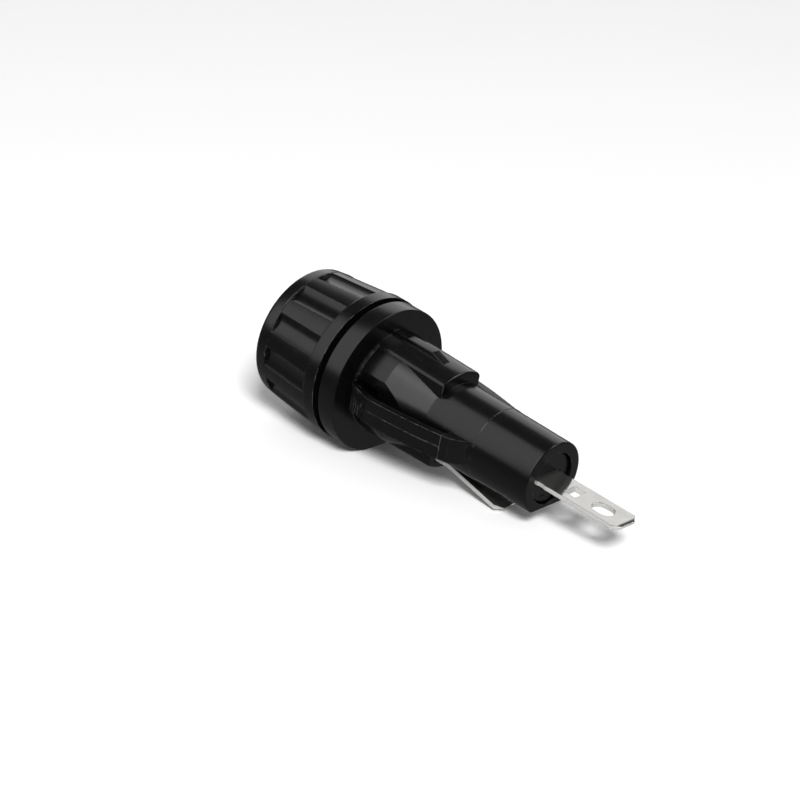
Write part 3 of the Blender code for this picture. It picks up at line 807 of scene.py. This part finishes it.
def knob_skin(finish):
    """The fluted cap: a rounded rim, twelve grip grooves between lands, and a plain collar."""
    face_flat = 6.0 * MM
    rim_radius = 12.72 * MM
    rim_end = (-19.25 * MM, 13.07 * MM)
    front = [(CAP_FRONT, face_flat), (CAP_FRONT, rim_radius), rim_end]
    rim = rounded_path(front, radius=1.1 * MM, steps=12)
    crease = (-19.12 * MM, 12.97 * MM)
    collar_step = 0.13 * MM
    outside = [
        crease,
        (RIM_REAR, LAND_FRONT_RADIUS),
        (COLLAR_FRONT, LAND_REAR_RADIUS),
        (COLLAR_FRONT + collar_step, COLLAR_RADIUS),
        (CAP_REAR, COLLAR_RADIUS),
    ]
    # A deep ring space in the skirt, round the hub that the sleeve is pressed in.
    skirt_rear = 12.1 * MM
    skirt_front = 11.1 * MM
    hub_front = 8.6 * MM
    hub_rear = 8.53 * MM
    skirt_floor = -18.4 * MM
    sleeve_bore = 7.07 * MM
    sleeve_floor = -8.9 * MM
    chamber = 5.3 * MM
    chamber_floor = -19.4 * MM
    inside = [
        (CAP_REAR, skirt_rear),
        (skirt_floor, skirt_front),
        (skirt_floor, hub_front),
        (CAP_REAR, hub_rear),
        (CAP_REAR, sleeve_bore),
        (sleeve_floor, sleeve_bore),
        (sleeve_floor, chamber),
        (chamber_floor, chamber),
        (chamber_floor, 0.0),
    ]
    knob = turned("knob_skin", [(CAP_FRONT, 0.0)] + rim + outside + inside, segments=144)
    shape(knob, "DIFFERENCE", *[grip_groove(i) for i in range(GRIP_GROOVES)])
    return dress(knob, finish, "cap", ["cap_knob"], sharp=12)


def sleeve_skin(finish):
    """The sleeve that is pressed in the cap, with a bayonet lug above and one below."""
    front = -7.7 * MM
    shoulder = -4.6 * MM
    rear = -1.4 * MM
    bore = 4.25 * MM
    pressed = 6.7 * MM
    outer = 8.0 * MM
    outside = [(front, pressed), (shoulder, pressed), (shoulder, outer), (rear, outer)]
    sleeve = turned("sleeve_skin", outside + [(rear, bore), (front, bore)])
    lug_low = -2.3 * MM
    lug_high = -1.45 * MM
    lug_foot = 7.4 * MM
    lug_top = 8.8 * MM
    lugs = [sector(lug_low, lug_high, lug_foot, lug_top, at, half_degrees=14) for at in (0, 180)]
    shape(sleeve, "UNION", *lugs)
    return dress(sleeve, finish, "cap", ["bayonet_sleeve"], edge=0.08 * MM)


def slit_tube(tube, low, high):
    """Cuts four slits in a contact tube, so that it has springy fingers."""
    half_slit = 0.4 * MM
    reach = 7 * MM
    flat = block((low, -reach, -half_slit), (high, reach, half_slit))
    upright = block((low, -half_slit, -reach), (high, half_slit, reach))
    return shape(tube, "DIFFERENCE", flat, upright)


def clip_skin(finish):
    """The front clip: a flanged cup with four fingers round the front of the fuse."""
    bore = 3.45 * MM
    outer = 3.85 * MM
    flange = 6.3 * MM
    slit_start = 1.0 * MM
    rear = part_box("front_clip")[1][0]
    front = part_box("front_clip")[0][0]
    floor = -8.0 * MM
    clip = turned(
        "clip_skin",
        [(front, 0), (front, flange), (floor, flange), (floor, outer), (rear, outer)]
        + [(rear, bore), (floor, bore), (floor, 0)],
        segments=96,
    )
    slit_tube(clip, slit_start, rear + MM)
    return dress(clip, finish, "cap", ["front_clip"], edge=0.06 * MM)


# ---- fuse ----------------------------------------------------------------------------------


def fuse_cap_skin(node, towards, finish):
    """A drawn end cap with a rounded shoulder and a small soldered dimple at its centre."""
    low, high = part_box(node)
    end = low[0] if towards > 0 else high[0]
    rim = high[0] if towards > 0 else low[0]
    radius = high[2]
    shoulder = 0.45 * MM
    steps = 6
    wall = 0.3 * MM
    inner_floor = end + towards * 0.5 * MM
    dimple = [(0.12 * MM, 0.0), (0.1 * MM, 0.5 * MM), (0.0, 0.8 * MM)]
    points = [(end + towards * depth, r) for depth, r in dimple]
    for i in range(steps + 1):
        angle = pi / 2 * i / steps
        x = end + towards * shoulder * (1 - cos(angle))
        points.append((x, radius - shoulder + shoulder * sin(angle)))
    points += [(rim, radius), (rim, radius - wall)]
    points += [(inner_floor, radius - wall), (inner_floor, 0.0)]
    cap = turned(f"{node}_skin", points, segments=96)
    return dress(cap, finish, "fuse", [node])


# ---- stage ---------------------------------------------------------------------------------


def floor(finish):
    """A wide plane that the cap's collar and the side tab's tip rest on."""
    touch_low = Vector((CAP_REAR, 0.0, -COLLAR_RADIUS))
    tab_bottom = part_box("side_terminal")[0][2]
    touch_high = Vector((SIDE_TAB_TIP_X, 0.0, tab_bottom))
    along = (touch_high - touch_low).normalized()
    up = Vector((-along.z, 0.0, along.x))
    across = Vector((0.0, 1.0, 0.0))
    size = 3.0
    start = touch_low - up * 0.02 * MM
    corners = [(-size, -size), (size, -size), (size, size), (-size, size)]
    bm = bmesh.new()
    bm.faces.new([bm.verts.new(start + along * a + across * b) for a, b in corners])
    ground = finish_mesh("floor", bm)
    ground.data.materials.append(finish)
    ground.visible_glossy = False
    return ground


def softbox(name, towards, distance, width, height, radiance, lights_floor=False):
    """A rectangular light of even brightness, seen from the object in the direction towards.

    One that lights the floor also casts the shadow, and isn't mirrored. The others are only
    mirrored."""
    light = bpy.data.lights.new(name, "AREA")
    light.shape = "RECTANGLE"
    light.size = width
    light.size_y = height
    light.energy = radiance * pi * width * height
    made = bpy.data.objects.new(name, light)
    direction = Vector(towards).normalized()
    made.location = OBJECT_MIDDLE + direction * distance
    made.rotation_euler = direction.to_track_quat("Z", "Y").to_euler()
    made.visible_diffuse = lights_floor
    made.visible_glossy = not lights_floor
    bpy.context.scene.collection.objects.link(made)
    return made


def studio_world():
    """An even fill for the floor, and what the gloss mirrors: a dark studio above, and below a
    floor that is a little paler towards +X."""
    fill = 0.36
    studio = 0.08
    floor_rear = 0.2
    floor_front = 0.15
    world = bpy.data.worlds.new("studio")
    world.use_nodes = True
    nodes = world.node_tree.nodes
    links = world.node_tree.links
    split = nodes.new("ShaderNodeSeparateXYZ")
    links.new(nodes.new("ShaderNodeTexCoord").outputs["Generated"], split.inputs["Vector"])
    across = nodes.new("ShaderNodeMapRange")
    across.inputs["From Min"].default_value = -0.4
    across.inputs["From Max"].default_value = 0.3
    across.inputs["To Min"].default_value = floor_front
    across.inputs["To Max"].default_value = floor_rear
    links.new(split.outputs["X"], across.inputs["Value"])
    above = nodes.new("ShaderNodeMapRange")
    above.inputs["From Min"].default_value = -0.45
    above.inputs["From Max"].default_value = -0.2
    links.new(split.outputs["Z"], above.inputs["Value"])
    mirrored = nodes.new("ShaderNodeMix")
    mirrored.inputs["B"].default_value = studio
    links.new(above.outputs["Result"], mirrored.inputs["Factor"])
    links.new(across.outputs["Result"], mirrored.inputs["A"])
    level = nodes.new("ShaderNodeMix")
    level.inputs["A"].default_value = fill
    links.new(nodes.new("ShaderNodeLightPath").outputs["Is Glossy Ray"], level.inputs["Factor"])
    links.new(mirrored.outputs["Result"], level.inputs["B"])
    background = nodes["Background"]
    background.inputs["Color"].default_value = (1.0, 1.0, 1.0, 1.0)
    links.new(level.outputs["Result"], background.inputs["Strength"])
    return world


def lights():
    """One light for the floor, four to be mirrored, the world, and the plain view transform."""
    softbox(
        "key_light",
        towards=(0.70, -0.72, 1.0),
        distance=2.0,
        width=0.5,
        height=0.5,
        radiance=68.0,
        lights_floor=True,
    )
    mirrored = {
        # towards, width, height, radiance
        "left_front": ((-0.566, -0.576, 0.59), 0.75, 1.25, 1.05),
        "front": ((0.0, -0.72, 0.69), 0.5, 1.25, 2.2),
        "back": ((-0.566, 0.76, 0.3), 1.0, 0.72, 0.98),
        "behind": ((0.35, 0.5, 0.8), 0.6, 0.6, 3.0),
    }
    for name, (towards, width, height, radiance) in mirrored.items():
        softbox(name, towards, distance=1.0, width=width, height=height, radiance=radiance)
    bpy.context.scene.world = studio_world()
    bpy.context.scene.view_settings.view_transform = "Standard"


def camera():
    """A long lens, above and behind the terminals' left, rolled so that the barrel runs down."""
    place = (0.2488, -0.2952, 0.1992)
    lens = bpy.data.cameras.new("camera")
    lens.lens = 108
    lens.sensor_width = 36
    lens.clip_start = 0.01
    made = bpy.data.objects.new("camera", lens)
    back = Vector((0.5659, -0.6810, 0.4649)).normalized()
    up = Vector((-0.4254, 0.2419, 0.8721))
    right = up.cross(back).normalized()
    up = back.cross(right)
    turn = Matrix((right, up, back)).transposed().to_4x4()
    made.matrix_world = Matrix.Translation(place) @ turn
    bpy.context.scene.collection.objects.link(made)
    bpy.context.scene.camera = made


def main():
    """Every piece with its finish, the CAD nodes that are kept, and the stage."""
    black = black_plastic()
    tin = plated(
        "tinned_metal",
        light=(0.61, 0.605, 0.59),
        dark=(0.56, 0.55, 0.53),
        roughness=0.07,
        streak=(0.1, 1.0, 1.0),
        sheared=0.5,
    )
    nickel = plated(
        "plated_brass",
        light=(0.78, 0.75, 0.68),
        dark=(0.6, 0.57, 0.5),
        roughness=0.24,
        streak=(1.0, 0.1, 0.1),
    )
    steel = plated(
        "spring_steel",
        light=(0.55, 0.55, 0.55),
        dark=(0.35, 0.35, 0.35),
        roughness=0.3,
        streak=(1.0, 1.0, 1.0),
    )
    glass = fuse_glass()
    body_shell(black)
    arm_skin(-1, black)
    arm_skin(1, black)
    plug_face(black)
    rear_blade(tin)
    side_blade(tin)
    knob_skin(black)
    sleeve_skin(black)
    clip_skin(nickel)
    fuse_cap_skin("fuse_cap_front", 1, nickel)
    fuse_cap_skin("fuse_cap_rear", -1, nickel)
    kept = {
        "front_contact_ring": nickel,
        "rear_contact_cup": nickel,
        "rear_spring": steel,
        "fuse_tube": glass,
        "fuse_element": steel,
    }
    for node, finish in kept.items():
        mesh_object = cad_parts[node]
        for slot in mesh_object.material_slots:
            slot.material = finish
    floor(floor_finish())
    lights()
    camera()


main()
